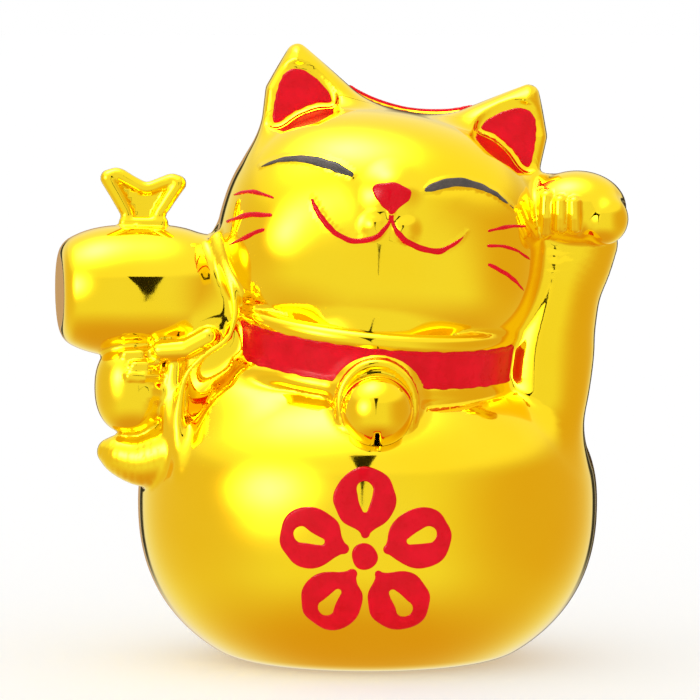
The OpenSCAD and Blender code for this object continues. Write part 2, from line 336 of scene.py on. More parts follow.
def finial_knots():
    y = BARREL_C[1]
    left = spline([(-45.2, y, 87, 2.4), (-44.4, y, 92.4, 1.5), (-45.8, y, 95.8, 1.5),
                   (-48.4, y, 100.4, 1.6)])
    right = spline([(-37.4, y, 87, 2.4), (-38.2, y, 92.4, 1.5), (-36.8, y, 95.2, 1.5),
                    (-34.1, y, 99.3, 1.6)])
    top = spline([(-48.4, y, 100.8, 1.5), (-46.4, y, 101.3, 1.4), (-43.6, y, 99.8, 1.3),
                  (-40.6, y, 98.5, 1.3), (-37.4, y, 99.5, 1.3), (-35.4, y, 100.1, 1.4),
                  (-34.0, y, 99.6, 1.5)])
    foot = [(-45.0, y - 0.6, 91.4, 1.3), (-37.4, y - 0.6, 91.4, 1.3)]
    return left, right, top, foot


FINIAL_WEB = [(-48, 100), (-44, 99.5), (-40.6, 98), (-37, 99), (-35, 98.8), (-38, 93), (-38, 88),
              (-44, 88), (-44.6, 93)]


def finial_web(p):
    return meet(polygon(p[:, 0], p[:, 2], FINIAL_WEB), np.abs(p[:, 1] - BARREL_C[1] - 0.7) - 0.7, 0.5)


def figure():
    form = Form()
    form.add(belly, BELLY_C, 66, 1)
    form.add(neck, (6, -1, 65), 34, 5)
    form.add(head, HEAD_C, 37, 2.0)
    for side in (-1, 1):
        place = (HEAD_C[0] + side * 21, 1, HEAD_C[2] + 20 - side * 4)
        form.add(lambda p, s=side: ear(p, s), place, 27, 4)
        form.add(lambda p, s=side: ear_hollow(p, s), place, 20, 1.4, carve)
    add_face(form)
    form.add(collar, COLLAR_C, 34, 1.4)
    seat = (BELL_C[0], -30.0, BELL_C[2] + 1)
    form.add(lambda p: egg(turned(p, seat), (8.7, 5.2, 9.2)), seat, 11, 3.0)
    form.add(bell_ring, (BELL_C[0], -33, BELL_C[2] + 1), 12, 1.0)
    form.add(lambda p: slot_ring(p) - SLOT_RIM, from_head(0, SLOT_Y, HEAD_R[2]), 20, 0.8, emboss)
    add_raised_arm(form)
    add_mallet(form)
    add_holding_arm(form)
    tail = spline([(6, 33, 10, 5), (13, 36.5, 14, 5), (17.5, 37, 21, 4.6), (16, 36.6, 28, 4.2),
                   (11, 36, 32, 3.8)])
    form.add(lambda p: limb(p, tail), (13, 36, 21), 22, 4.0)
    return form


def slot_ring(p):
    """Distance from the coin slot's edge, seen from above the head."""
    q = turned(p, HEAD_C, HEAD_TILT)
    x = np.maximum(np.abs(q[:, 0]) - (SLOT_L - SLOT_W) / 2, 0)
    return np.maximum(np.hypot(x, q[:, 1] - SLOT_Y) - SLOT_W / 2, 10 - q[:, 2])


def front_of(form, x, z):
    """Y of the form's front at x, z."""
    y = np.linspace(-48, 0, 241)
    d = form(np.stack([np.full(241, x), y, np.full(241, z)], 1))
    return float(y[np.argmax(d < 0)])


def add_lobes(form, rows, blend):
    """Fingers: each row is two ends (x, z), radius and how far it stands proud."""
    for (xa, za), (xb, zb), r, proud in rows:
        places = ((xa, za), ((xa + xb) / 2, (za + zb) / 2), (xb, zb))
        knots = [(x, front_of(form, x, z) + r - proud, z, r) for x, z in places]
        form.add(lambda p, k=knots: limb(p, k), knots[1][:3], 7, blend)


FACE_LUMPS = ((-0.6, 7.4, 4.6, 1.1, 3.0), (-2.7, 0.6, 2.6, 0.9, 1.6), (3.2, 1.0, 2.6, 0.9, 1.6))


def add_face(form):
    """Cheeks, nose and muzzle, in the head's frame: u, v, radius, how far out, blend."""
    for side in (-1, 1):
        cheek = from_head(side * 17.5, -2, -7)
        form.add(lambda p, c=cheek: egg(turned(p, c, HEAD_TILT), (14.4, 20, 15)), cheek, 22, 9.0)
    for u, v, r, out, blend in FACE_LUMPS:
        y = -HEAD_R[1] * (1 - abs(v / HEAD_R[2]) ** 2.25) ** (1 / 2.25) + r - out
        centre = from_head(u, y, v)
        form.add(lambda p, c=centre, r=r: ball(p, c, r), centre, r, blend)
    for rows, height in ((EYES["left"], 0.2), (EYES["right"], 0.2), (SMILES[0], 0.12), (SMILES[1], 0.12)):
        u, v, _ = rows[len(rows) // 2]
        curve = spline(rows)
        form.add(lambda p, c=curve: moulded_line(p, c), from_head(u, -26, v), 14, height, emboss)


def moulded_line(p, curve):
    """The line moulded under a painted stroke, a touch wider than the paint."""
    q = turned(p, HEAD_C, HEAD_TILT)
    return np.maximum(stroke(q[:, 0], q[:, 2] - 0.15, curve) - 0.2, q[:, 1])


EYES = {
    "left": [(-9.3, 9.9, 0.6), (-12.0, 10.6, 1.0), (-15.6, 11.1, 1.0), (-20.0, 11.0, 0.75),
             (-24.0, 9.9, 0.45), (-27.6, 7.7, 0.12)],
    "right": [(6.2, 9.5, 0.45), (7.6, 10.3, 0.9), (10.2, 11.5, 1.0), (13.0, 12.1, 0.9), (16.5, 11.9, 0.7),
              (20.4, 10.8, 0.45), (24.6, 8.4, 0.12)],
}
NOSE = [(-4.7, 7.8), (-3.6, 9.2), (-0.9, 9.9), (1.6, 9.7), (3.3, 8.5), (3.0, 6.8), (1.4, 5.0),
        (0.3, 3.6), (-0.6, 3.7), (-2.0, 4.8), (-3.8, 6.4)]
SMILES = (
    [(-0.1, 4.0, 0.45), (-0.1, 1.8, 0.4), (-1.0, 0.0, 0.5), (-2.6, -1.8, 0.6), (-5.7, -3.0, 0.6),
     (-8.4, -2.9, 0.6), (-11.2, -1.7, 0.6), (-13.7, 0.3, 0.65), (-15.3, 2.2, 0.55), (-16.1, 3.4, 0.35)],
    [(0.0, 4.0, 0.45), (0.7, 1.8, 0.4), (2.0, 0.1, 0.6), (4.0, -1.3, 0.7), (7.2, -2.2, 0.65),
     (10.6, -2.3, 0.65), (12.8, -1.0, 0.5), (14.7, 0.8, 0.3), (15.9, 2.5, 0.12)],
)
WHISKERS = {
    "left": ([(-32.2, 0.8, 0.2), (-30.1, 2.0, 0.4), (-27.5, 2.6, 0.5), (-24.1, 2.3, 0.25)],
             [(-32.4, -4.7, 0.3), (-30.6, -3.4, 0.45), (-28.0, -2.0, 0.6), (-24.0, -1.2, 0.45)],
             [(-31.2, -9.2, 0.2), (-28.5, -7.0, 0.45), (-26.5, -5.4, 0.5), (-24.8, -4.4, 0.35)]),
    "right": ([(20.2, 3.4, 0.3), (22.9, 4.4, 0.45), (25.1, 5.0, 0.4), (27.6, 5.2, 0.2)],
              [(20.6, 0.4, 0.3), (23.6, 0.7, 0.4), (26.4, 0.3, 0.35), (29.8, -1.3, 0.2)],
              [(21.4, -3.3, 0.35), (24.1, -4.2, 0.5), (27.1, -5.7, 0.4), (29.6, -7.7, 0.2)]),
}


def from_head(u, y, v):
    """A point of the head's frame, in the figure's frame."""
    c, s = math.cos(math.radians(HEAD_TILT)), math.sin(math.radians(HEAD_TILT))
    return (HEAD_C[0] + c * u + s * v, HEAD_C[1] + y, HEAD_C[2] - s * u + c * v)


RAISED_ARM = [(40.0, -7.5, 45, 7.6), (41.6, -7.2, 51, 7.8), (42.7, -6.2, 57, 8.1), (43.6, -5.2, 64, 8.2),
              (44.1, -4.7, 70, 8.0), (45.4, -4.8, 77, 7.7), (48.2, -4.4, 83, 7.2), (49.9, -3.6, 87, 6.8)]


def add_raised_arm(form):
    web = spline([(38, -6, 52, 7), (38.8, -7.2, 60, 6.4), (39.6, -7.2, 66, 6.3), (42, -6.4, 74, 6.6),
                  (43, -6, 82, 5.6), (42, -5, 90, 4.8), (41.5, -3.8, 97, 4.4)])
    form.add(lambda p: limb(p, web), (40, -5, 75), 30, 1.6)
    arm = spline(RAISED_ARM)
    form.add(lambda p: limb(p, arm), (44, -5, 66), 30, 5)
    paw = (48.0, -7.5, 94.4)
    form.add(lambda p: egg(turned(p, paw), (10.2, 8.8, 7.8)), paw, 13, 2.0)
    form.add(lambda p: egg(turned(p, (53.2, -11.6, 92.5)), (5.2, 5.2, 5.4)), (53.2, -11.6, 92.5), 6, 0.9)
    add_lobes(form, (((41.6, 97.0), (41.2, 90.0), 1.6, 1.2), ((44.3, 96.2), (44.2, 91.0), 1.45, 1.3),
                     ((47.1, 96.0), (47.2, 91.0), 1.45, 1.3)), 0.5)


def add_mallet(form):
    form.add(barrel, BARREL_C, 22, 1.5)
    for knots in finial_knots():
        form.add(lambda p, k=knots: limb(p, k), (-41.6, -6, 96), 12, 0.5)
    form.add(finial_web, (-41.6, -6, 96), 12, 0.3)


CREST = [(-26.4, -10, 88.4, 0.6), (-24.0, -14, 82, 0.6), (-22.2, -17, 75.5, 0.6), (-23.2, -19.2, 69, 0.6),
         (-28.6, -19.4, 64.8, 0.6), (-32.2, -19, 60.6, 0.6), (-33.4, -18.4, 54, 0.6), (-33.4, -19, 48, 0.7),
         (-32.8, -20.5, 42, 1.2)]


def add_holding_arm(form):
    shoulder = (-17.0, -8.0, 52.2)
    form.add(lambda p: egg(turned(p, shoulder), (15.0, 15.0, 12.6)), shoulder, 17, 5.0)
    web = [(-27, -5.5, 42, 10), (-29, -5.5, 56, 9.2), (-26, -5.5, 68, 10.4), (-23.5, -4, 80, 9),
           (-24, -3, 86, 4)]
    form.add(lambda p: limb(p, web), (-26, -4, 62), 36, 3.0)
    paw = (-43.4, -11.5, 57.8)
    form.add(lambda p: egg(turned(p, paw), (7.8, 7.6, 9.6), 2.3), paw, 13, 1.6)
    fingers = (((-44.4, 65.0), (-38.6, 65.2), 1.15, 0.9), ((-42.6, 62.8), (-38.2, 62.8), 1.15, 0.9),
               ((-43.6, 60.7), (-38.0, 60.4), 1.15, 0.9), ((-40.0, 57.4), (-38.6, 57.0), 2.6, 0.5))
    add_lobes(form, fingers, 0.7)
    elbow = spline([(-48.0, -10.5, 44.4, 2.8), (-45, -11, 43.7, 4.6), (-40.5, -11.5, 43.0, 5.8),
                    (-35, -12.3, 44.5, 6.8), (-31, -13, 46, 6.0)])
    form.add(lambda p: limb(p, elbow), (-40, -11, 43), 16, 1.4)
    strip = spline([(-34.2, -14.5, 64, 2.0), (-35.2, -15.2, 56, 2.4), (-34.8, -16.2, 49, 2.3),
                    (-33.6, -18, 43.4, 1.5)])
    form.add(lambda p: limb(p, strip), (-35, -16, 54), 14, 1.0)
    crest = spline(CREST)
    form.add(lambda p: limb(p, crest), (-28, -16, 65), 28, 3.0)
    thumb = [(-37.2, -15.6, 65.8, 2.2), (-32.0, -16.6, 66.2, 2.3), (-27.6, -17, 68.6, 2.2)]
    form.add(lambda p: limb(p, thumb), (-32, -16, 67), 9, 0.9)


def hollow():
    """The cavity: the big forms, a wall's thickness smaller."""
    form = Form()
    form.add(lambda p: belly(p) + WALL, BELLY_C, 66, 1)
    form.add(lambda p: egg(turned(p, (6.0, -1.0, 65.0)), (25.4, 23.8, 18.0), 3.0), (6, -1, 65), 34, 2)
    form.add(lambda p: head(p) + WALL, HEAD_C, 37, 2)
    form.add(lambda p: barrel(p) + WALL, BARREL_C, 22, 1)
    return form


# ---------------------------------------------------------------- meshing


def sample(form, low, high, step, shape=None, outline=None, block=12):
    """Grid of distances; blocks far from the surface or outside the outline aren't worked out."""
    low, high = np.array(low, FLOAT), np.array(high, FLOAT)
    count = np.ceil((high - low) / step).astype(int) + 1
    grid = np.full(count, 10.0, FLOAT)
    for i in range(0, count[0], block):
        for j in range(0, count[1], block):
            for k in range(0, count[2], block):
                a = np.array([i, j, k])
                b = np.minimum(a + block, count)
                axes = [low[m] + step * np.arange(a[m], b[m], dtype=FLOAT) for m in range(3)]
                p = np.stack(np.meshgrid(*axes, indexing="ij"), -1).reshape(-1, 3)
                lumps = form.near(p[0], p[-1], step)
                if not lumps:
                    continue
                middle = float(form(((p[0] + p[-1]) / 2)[None], lumps)[0])
                cell = (slice(a[0], b[0]), slice(a[1], b[1]), slice(a[2], b[2]))
                reach = np.linalg.norm(p[-1] - p[0]) * 0.8
                if abs(middle) > reach + 2:
                    grid[cell] = 10.0 if shape else middle
                    continue
                if outline and outline(((p[0] + p[-1]) / 2)[None])[0] > reach:
                    continue
                d = form(p, lumps)
                if shape:
                    d = shape(p, d)
                grid[cell] = d.reshape(b - a)
    return grid


def surface_nets(grid, low, step):
    """Vertices and quads of the grid's zero level."""
    inside = grid < 0
    n = grid.shape
    total = np.zeros((n[0] - 1, n[1] - 1, n[2] - 1, 3), FLOAT)
    hits = np.zeros((n[0] - 1, n[1] - 1, n[2] - 1), FLOAT)
    for axis in range(3):
        o = [m for m in range(3) if m != axis]
        for du in (0, 1):
            for dv in (0, 1):
                off = [0, 0, 0]
                off[o[0]], off[o[1]] = du, dv
                first = [slice(off[m], n[m] - 1 + off[m]) for m in range(3)]
                second = list(first)
                second[axis] = slice(1, n[axis])
                g0, g1 = grid[tuple(first)], grid[tuple(second)]
                hit = (g0 < 0) != (g1 < 0)
                t = np.where(hit, g0 / np.where(hit, g0 - g1, 1), 0)
                total[..., axis] += t
                total[..., o[0]] += hit * du
                total[..., o[1]] += hit * dv
                hits += hit
    used = hits > 0
    index = np.full(used.shape, -1, np.int64)
    index[used] = np.arange(int(used.sum()))
    verts = (np.argwhere(used) + total[used] / hits[used][:, None]) * step + np.array(low, FLOAT)
    quads = []
    for axis in range(3):
        o = [m for m in range(3) if m != axis]
        first = [slice(1, m - 1) for m in n]
        first[axis] = slice(0, n[axis] - 1)
        second = list(first)
        second[axis] = slice(1, n[axis])
        i0, i1 = inside[tuple(first)], inside[tuple(second)]
        for leaving in (True, False):
            edge = np.argwhere(i0 & ~i1 if leaving else ~i0 & i1)
            if not len(edge):
                continue
            base = edge + np.array([int(m != axis) for m in range(3)])
            du, dv = np.eye(3, dtype=int)[o[0]], np.eye(3, dtype=int)[o[1]]
            ring = [index[tuple(r.T)] for r in (base - du - dv, base - dv, base, base - du)]
            outward = (axis != 1) == leaving
            quads.append(np.stack(ring if outward else ring[::-1], 1))
    return verts.astype(FLOAT), np.concatenate(quads)


def slopes(field, p, e=0.03):
    """Gradient of a field by central differences."""
    steps = np.eye(3, dtype=FLOAT) * e
    return np.stack([field(p + s) - field(p - s) for s in steps], 1) / (2 * e)


def settle(verts, field, rounds=2, limit=0.4):
    """Moves vertices onto the field's zero level."""
    for _ in range(rounds):
        g = slopes(field, verts)
        step = field(verts)[:, None] * g / np.maximum((g * g).sum(1), 0.05)[:, None]
        verts = verts - np.clip(step, -limit, limit)
    return verts


def by_blocks(form, size=12.0):
    """The form as a field that works block by block with only the lumps near each block."""

    def field(p):
        out = np.empty(len(p), FLOAT)
        cells = np.floor(p / size).astype(int)
        _, index = np.unique(cells, axis=0, return_inverse=True)
        index = index.ravel()
        order = np.argsort(index, kind="stable")
        bounds = np.flatnonzero(np.diff(index[order])) + 1
        for group in np.split(order, bounds):
            q = p[group]
            out[group] = form(q, form.near(q.min(0), q.max(0), 1.0))
        return out

    return field


# ---------------------------------------------------------------- Blender objects


def new_object(name, verts, faces, smooth=True):
    mesh = bpy.data.meshes.new(name)
    mesh.from_pydata((np.asarray(verts) * UNIT).tolist(), [], [list(map(int, f)) for f in faces])
    mesh.update()
    if smooth:
        mesh.shade_smooth()
    piece = bpy.data.objects.new(name, mesh)
    bpy.context.scene.collection.objects.link(piece)
    return piece


def boolean(piece, cutter, operation):
    modifier = piece.modifiers.new(operation.lower(), "BOOLEAN")
    modifier.operation = operation
    modifier.solver = "MANIFOLD"
    modifier.object = cutter
    apply_modifiers(piece)


def apply_modifiers(piece):
    graph = bpy.context.evaluated_depsgraph_get()
    mesh = bpy.data.meshes.new_from_object(piece.evaluated_get(graph))
    old = piece.data
    piece.modifiers.clear()
    piece.data = mesh
    bpy.data.meshes.remove(old)
    mesh.name = piece.name


def discard(*pieces):
    for piece in pieces:
        mesh = piece.data
        bpy.data.objects.remove(piece)
        bpy.data.meshes.remove(mesh)


def lathe(name, profile, centre, turns=96, axis="Z"):
    """Closed solid of revolution; the profile runs from the axis round to the axis, as r, z."""
    verts, faces = [], []
    rings = []
    for r, z in profile:
        if r < 1e-6:
            rings.append([len(verts)])
            verts.append((0, 0, z))
            continue
        ring = []
        for i in range(turns):
            a = 2 * math.pi * i / turns
            ring.append(len(verts))
            verts.append((r * math.cos(a), r * math.sin(a), z))
        rings.append(ring)
    pairs = list(zip(rings, rings[1:]))
    if profile[0][0] > 1e-6:
        pairs.append((rings[-1], rings[0]))
    for a, b in pairs:
        for i in range(turns):
            j = (i + 1) % turns
            if len(a) == 1:
                faces.append((a[0], b[j], b[i]))
            elif len(b) == 1:
                faces.append((a[i], a[j], b[0]))
            else:
                faces.append((a[i], a[j], b[j], b[i]))
    verts = np.array(verts, float)
    if axis == "Y":
        verts = np.stack([verts[:, 0], verts[:, 2], -verts[:, 1]], 1)
    return new_object(name, verts + np.array(centre), faces)


def skin(name, form, low, high, step, shape=None, outline=None):
    grid = sample(form, low, high, step, shape, outline)
    verts, quads = surface_nets(grid, low, step)
    blocks = by_blocks(form)
    field = (lambda p: shape(p, blocks(p))) if shape else blocks
    return new_object(name, settle(verts, field), quads)


def exact_normals(piece, field, tolerance=0.02):
    """Shades the faces that lie on the field by its own slope, and the cut faces flat."""
    mesh = piece.data
    co = np.empty(len(mesh.vertices) * 3, FLOAT)
    mesh.vertices.foreach_get("co", co)
    co = co.reshape(-1, 3) / UNIT
    near = np.abs(field(co)) < tolerance
    normal = np.zeros_like(co)
    normal[near] = slopes(field, co[near])
    normal[near] /= np.linalg.norm(normal[near], axis=1)[:, None] + 1e-9
    vertex = np.empty(len(mesh.loops), np.int64)
    mesh.loops.foreach_get("vertex_index", vertex)
    sides = np.empty(len(mesh.polygons), np.int64)
    mesh.polygons.foreach_get("loop_total", sides)
    flat = np.empty(len(mesh.polygons) * 3, FLOAT)
    mesh.polygons.foreach_get("normal", flat)
    face = np.repeat(np.arange(len(sides)), sides)
    flat = flat.reshape(-1, 3)[face]
    off = np.bincount(face, weights=~near[vertex]) > 0
    agree = (flat * normal[vertex]).sum(1) > 0.3
    use = ~off[face] & agree
    mesh.normals_split_custom_set(np.where(use[:, None], normal[vertex], flat).tolist())


# ---------------------------------------------------------------- shells


def slot_bar(name, low, high):
    """Round-ended bar through the crown, along the head's own upward axis."""
    steps = 12
    ring = []
    for side in (1, -1):
        for i in range(steps + 1):
            a = math.pi * (i / steps - 0.5) + (0 if side > 0 else math.pi)
            ring.append((side * (SLOT_L - SLOT_W) / 2 + SLOT_W / 2 * math.cos(a),
                         SLOT_Y + SLOT_W / 2 * math.sin(a)))
    verts = [from_head(u, y, v) for v in (low, high) for u, y in ring]
    n = len(ring)
    faces = [tuple(range(n))[::-1], tuple(range(n, 2 * n))]
    faces += [(i, (i + 1) % n, n + (i + 1) % n, n + i) for i in range(n)]
    return new_object(name, verts, faces, smooth=False)


def block(name, low, high):
    (x0, y0, z0), (x1, y1, z1) = low, high
    verts = [(x, y, z) for x in (x0, x1) for y in (y0, y1) for z in (z0, z1)]
    faces = [(0, 1, 3, 2), (4, 6, 7, 5), (0, 4, 5, 1), (2, 3, 7, 6), (0, 2, 6, 4), (1, 5, 7, 3)]
    return new_object(name, verts, faces, smooth=False)


def make_shells(form, step):
    low, high = in_design(CAD_BOX[0]) - 3, in_design(CAD_BOX[1]) + 3
    whole = skin("whole", form, low, high, step)
    inner = skin("inner", hollow(), low, high, 2.0)
    slot = slot_bar("slot", 8, 40)
    r = PLATE_R + 0.05
    hole = lathe("hole", [(0, -2), (r, -2), (r, WALL + 1), (0, WALL + 1)], (PLATE_C[0], 0, 0))
    socket = lathe("socket", sphere_profile(BELL_R + 0.05), BELL_C, axis="Y")
    for cutter in (inner, slot, hole, socket):
        boolean(whole, cutter, "DIFFERENCE")
    seam = 0.04
    field = by_blocks(form)
    pieces = []
    for name, near, far in (("front_skin", -90, PART_Y - seam), ("rear_skin", PART_Y + seam, 90)):
        piece = whole.copy()
        piece.data = whole.data.copy()
        piece.name = name
        bpy.context.scene.collection.objects.link(piece)
        half = block("half", (-90, near, -20), (90, far, 160))
        boolean(piece, half, "INTERSECT")
        discard(half)
        exact_normals(piece, field)
        pieces.append(piece)
    discard(whole, inner, slot, hole, socket)
    return pieces


def sphere_profile(r, steps=32):
    return [(r * math.cos(math.pi * (i / steps - 0.5)), r * math.sin(math.pi * (i / steps - 0.5)))
            for i in range(steps + 1)]


# ---------------------------------------------------------------- paint


def film(name, form, low, high, outline, step, depth=0.6):
    """Enamel with a soft rounded edge: the outline pressed through a thin layer over the form."""

    def shape(p, d):
        return np.maximum(meet(d - FILM, outline(p), 0.5), -d - depth)

    return skin(name, form, np.array(low), np.array(high), step, shape, outline)


def head_box(u0, u1, v0, v1, back=-4):
    """Lowest and highest corners of the front of a stretch of the head."""
    corners = np.array([from_head(u, y, v) for u in (u0, u1) for y in (-34, back) for v in (v0, v1)])
    return corners.min(0) - 1, corners.max(0) + 1


def on_face(shape):
    """Outline in the head's frame, seen from the front, as a field of space."""

    def outline(p):
        q = turned(p, HEAD_C, HEAD_TILT)
        return shape(q[:, 0], q[:, 2])

    return outline


def wavering(d, u, v, amount=0.07):
    """A hand-painted edge: the outline comes and goes a little."""
    return d + amount * (np.sin(1.7 * u + 0.6 * v) + np.sin(2.9 * v - 1.1 * u + 1.0))


def strokes(rows):
    curves = [spline(row) for row in rows]

    def shape(u, v):
        out = np.full(len(u), 1e3, FLOAT)
        for curve in curves:
            out = np.minimum(out, stroke(u, v, curve))
        return wavering(out, u, v, 0.04)

    return shape


def ear_film(name, form, side, step):
    """Paint that covers the floor and the walls of an ear's hollow."""

    def outline(p):
        u, y, v, half = ear_frame(p, side)
        return np.maximum(wavering(ear_outline(u, v) + 0.35, u, v, 0.05), y + half - 4.0)

    ends = sorted((side * 13.5, side * 29))
    return film(name, form, *head_box(ends[0], ends[1], 14, 31, 8), outline, step)


def band_outline(p):
    """The collar's painted band: round ends, and an arch over the bell."""
    q = turned(p, COLLAR_C, COLLAR_ROLL, COLLAR_PITCH)
    along = np.arctan2(q[:, 0], -q[:, 1]) * COLLAR_R
    x, z = np.abs(along - 0.2) - 36.6 + 2.2, np.abs(q[:, 2]) - BAND_H / 2 + 2.2
    box = np.hypot(np.maximum(x, 0), np.maximum(z, 0)) + np.minimum(np.maximum(x, z), 0) - 2.2
    arch = 10.0 - np.hypot(p[:, 0] - BELL_C[0], p[:, 2] - BELL_C[2] - 0.4)
    front = np.maximum(meet(box, arch, 1.2), q[:, 1])
    return np.maximum(wavering(front, along, q[:, 2], 0.06), np.abs(collar(p)) - 0.6)


EMBLEM_C = (4.4, 26.5)


def emblem_outline(p):
    """A five-petalled blossom in brush strokes, generic and without lettering."""
    x, z = p[:, 0] - EMBLEM_C[0], p[:, 2] - EMBLEM_C[1]
    r, a = np.hypot(x, z), np.arctan2(x, z)
    fifth = 2 * math.pi / 5
    a = (a + fifth / 2) % fifth - fifth / 2
    u, v = r * np.sin(a), r * np.cos(a)
    petal = np.hypot(u, v - 11.6) - 6.3
    petal = join(petal, stroke(u, v, [(0, 4.6, 1.0), (0, 9.0, 3.8)]), 1.5)
    petal = carve(petal, stroke(u, v, [(0, 9.4, 0.5), (0, 13.4, 1.7)]), 0.8)
    stamen = np.hypot(x, z) - 2.7
    return np.maximum(wavering(np.minimum(petal, stamen), x * 0.4, z * 0.4, 0.12), p[:, 1])


def slot_outline(p):
    ring = slot_ring(p)
    return np.maximum(ring - SLOT_RIM, 0.1 - ring)


def make_paint(form, step):
    """Every film: piece, CAD node it stands for, material slot."""
    rows = []
    for side, sign in (("left", -1), ("right", 1)):
        rows.append((ear_film(f"{side}_ear_enamel", form, sign, step), f"{side}_ear_paint", RED))
        us = [knot[0] for knot in EYES[side]]
        box = head_box(min(us) - 1, max(us) + 1, 5.5, 14)
        eye = film(f"{side}_eye_line", form, *box, on_face(strokes([EYES[side]])), step)
        rows.append((eye, f"{side}_eye_paint", GREY))
        us = [knot[0] for row in WHISKERS[side] for knot in row]
        box = head_box(min(us) - 1, max(us) + 1, -11, 7)
        whiskers = film(f"{side}_whiskers", form, *box, on_face(strokes(WHISKERS[side])), step)
        rows.append((whiskers, f"{side}_whisker_paint", RED))

    def nose(u, v):
        return wavering(polygon(u, v, closed_spline(NOSE)), u, v)

    box = head_box(-6, 5, 2, 11)
    rows.append((film("nose_enamel", form, *box, on_face(nose), step), "nose_paint", RED))
    smiles = strokes(SMILES)
    mouth = on_face(lambda u, v: np.maximum(smiles(u, v), -polygon(u, v, closed_spline(NOSE)) + 0.1))
    box = head_box(-18, 18, -5, 5)
    rows.append((film("mouth_enamel", form, *box, mouth, step), "mouth_paint", RED))
    low = (COLLAR_C[0] - 33, COLLAR_C[1] - 33, COLLAR_C[2] - 12)
    high = (COLLAR_C[0] + 33, COLLAR_C[1] + 3, COLLAR_C[2] + 10)
    rows.append((film("collar_enamel", form, low, high, band_outline, step), "collar_paint", RED))
    low = (EMBLEM_C[0] - 20, -42, EMBLEM_C[1] - 20)
    high = (EMBLEM_C[0] + 20, -20, EMBLEM_C[1] + 20)
    rows.append((film("belly_blossom", form, low, high, emblem_outline, step), "belly_emblem", RED))
    top = from_head(0, SLOT_Y, HEAD_R[2])
    low = np.array(top) - (19, 7, 10)
    high = np.array(top) + (19, 7, 5)
    rows.append((film("slot_enamel", form, low, high, slot_outline, step), "slot_rim_paint", RED))
    return rows


# ---------------------------------------------------------------- bell and base


def make_bell():
    """Ball with a short slit below and a peg that goes into the shell."""
    form = Form()
    centre = np.array(BELL_C, FLOAT)
    form.add(lambda p: ball(p, BELL_C, BELL_R), BELL_C, 9, 0.1)

    def slit(p):
        q = p - centre
        wedge = np.abs(q[:, 0]) - 0.35
        return np.maximum(np.maximum(wedge, q[:, 2] + 4.2), -ball(p, BELL_C, 4.6))

    form.add(slit, BELL_C, 9, 1.1, carve)
    peg = [(*BELL_C, 2.4), (BELL_C[0], BELL_C[1] + 8.2, BELL_C[2], 2.4)]
    form.add(lambda p: limb(p, peg), BELL_C, 12, 0.1)
    return skin("bell_ball", form, centre - 9, centre + (9, 12, 9), 0.4)


def rounded(corners, r=0.3, steps=4):
    """Profile with every corner off the axis rounded."""
    out = []
    n = len(corners)
    for i, corner in enumerate(corners):
        c = np.array(corner, float)
        if c[0] < 1e-6:
            out.append(tuple(c))
            continue
        a, b = np.array(corners[i - 1], float), np.array(corners[(i + 1) % n], float)
        da, db = (a - c) / np.linalg.norm(a - c), (b - c) / np.linalg.norm(b - c)
        cut = min(r, np.linalg.norm(a - c) * 0.45, np.linalg.norm(b - c) * 0.45)
        for k in range(steps + 1):
            t = k / steps
            out.append(tuple(c + cut * (da * (1 - t) ** 2 + db * t**2)))
    return out


def make_base_plate():
    r, bore = PLATE_R, STOPPER_R + 0.05
    ring = [(bore, 0), (bore + 1.2, 0), (bore + 1.5, 0.35), (bore + 2.1, 0.35), (bore + 2.4, 0), (r, 0),
            (r, WALL), (r + 2.4, WALL), (r + 2.4, WALL + 1.6), (bore, WALL + 1.6)]
    return lathe("base_disc", rounded(ring, 0.2), (PLATE_C[0], 0, 0), 144)


def make_stopper():
    r = STOPPER_R
    cup = [(0, 3.2), (2.2, 3.2), (2.6, 1.0), (3.6, 1.0), (4.2, 2.6), (r - 3.4, 2.2), (r - 2.2, 0.6),
           (r, 0.6), (r, 4.6), (r - 0.9, 6.2), (r - 1, 8), (r - 2.6, 8), (r - 3, 5), (0, 4.8)]
    return lathe("stopper_plug", rounded(cup, 0.35), (PLATE_C[0], 0, 0), 144)


# ---------------------------------------------------------------- materials


class Nodes:
    """Short hand for building a shader's node tree."""

    def __init__(self, tree):
        self.tree = tree

    def add(self, kind, inputs=None, **settings):
        node = self.tree.nodes.new(kind)
        for key, value in settings.items():
            setattr(node, key, value)
        for key, value in (inputs or {}).items():
            self.plug(node.inputs[key], value)
        return node

    def plug(self, socket, value):
        if isinstance(value, bpy.types.NodeSocket):
            self.tree.links.new(value, socket)
        else:
            socket.default_value = value

    def calc(self, operation, *values):
        node = self.add("ShaderNodeMath", operation=operation)
        for socket, value in zip(node.inputs, values):
            self.plug(socket, value)
        return node.outputs[0]

    def ramp(self, value, low, high, to_low=0.0, to_high=1.0, smooth=True):
        node = self.add("ShaderNodeMapRange", {0: value, 1: low, 2: high, 3: to_low, 4: to_high})
        node.interpolation_type = "SMOOTHSTEP" if smooth else "LINEAR"
        return node.outputs[0]

    def noise(self, where, size, detail=3.0, rough=0.5, stretch=None):
        """Noise whose grains are about size millimetres across."""
        if stretch:
            where = self.add("ShaderNodeMapping", {0: where, 3: stretch}).outputs[0]
        inputs = {"Vector": where, "Scale": 1000.0 / size, "Detail": detail, "Roughness": rough}
        return self.add("ShaderNodeTexNoise", inputs).outputs[0]

    def mix(self, amount, a, b):
        node = self.add("ShaderNodeMix", data_type="RGBA")
        self.plug(node.inputs[0], amount)
        self.plug(node.inputs[6], a)
        self.plug(node.inputs[7], b)
        return node.outputs[2]

    def bump(self, height, distance, strength=1.0, normal=None):
        inputs = {"Height": height, "Distance": distance * 0.001, "Strength": strength}
        if normal:
            inputs["Normal"] = normal
        return self.add("ShaderNodeBump", inputs).outputs[0]


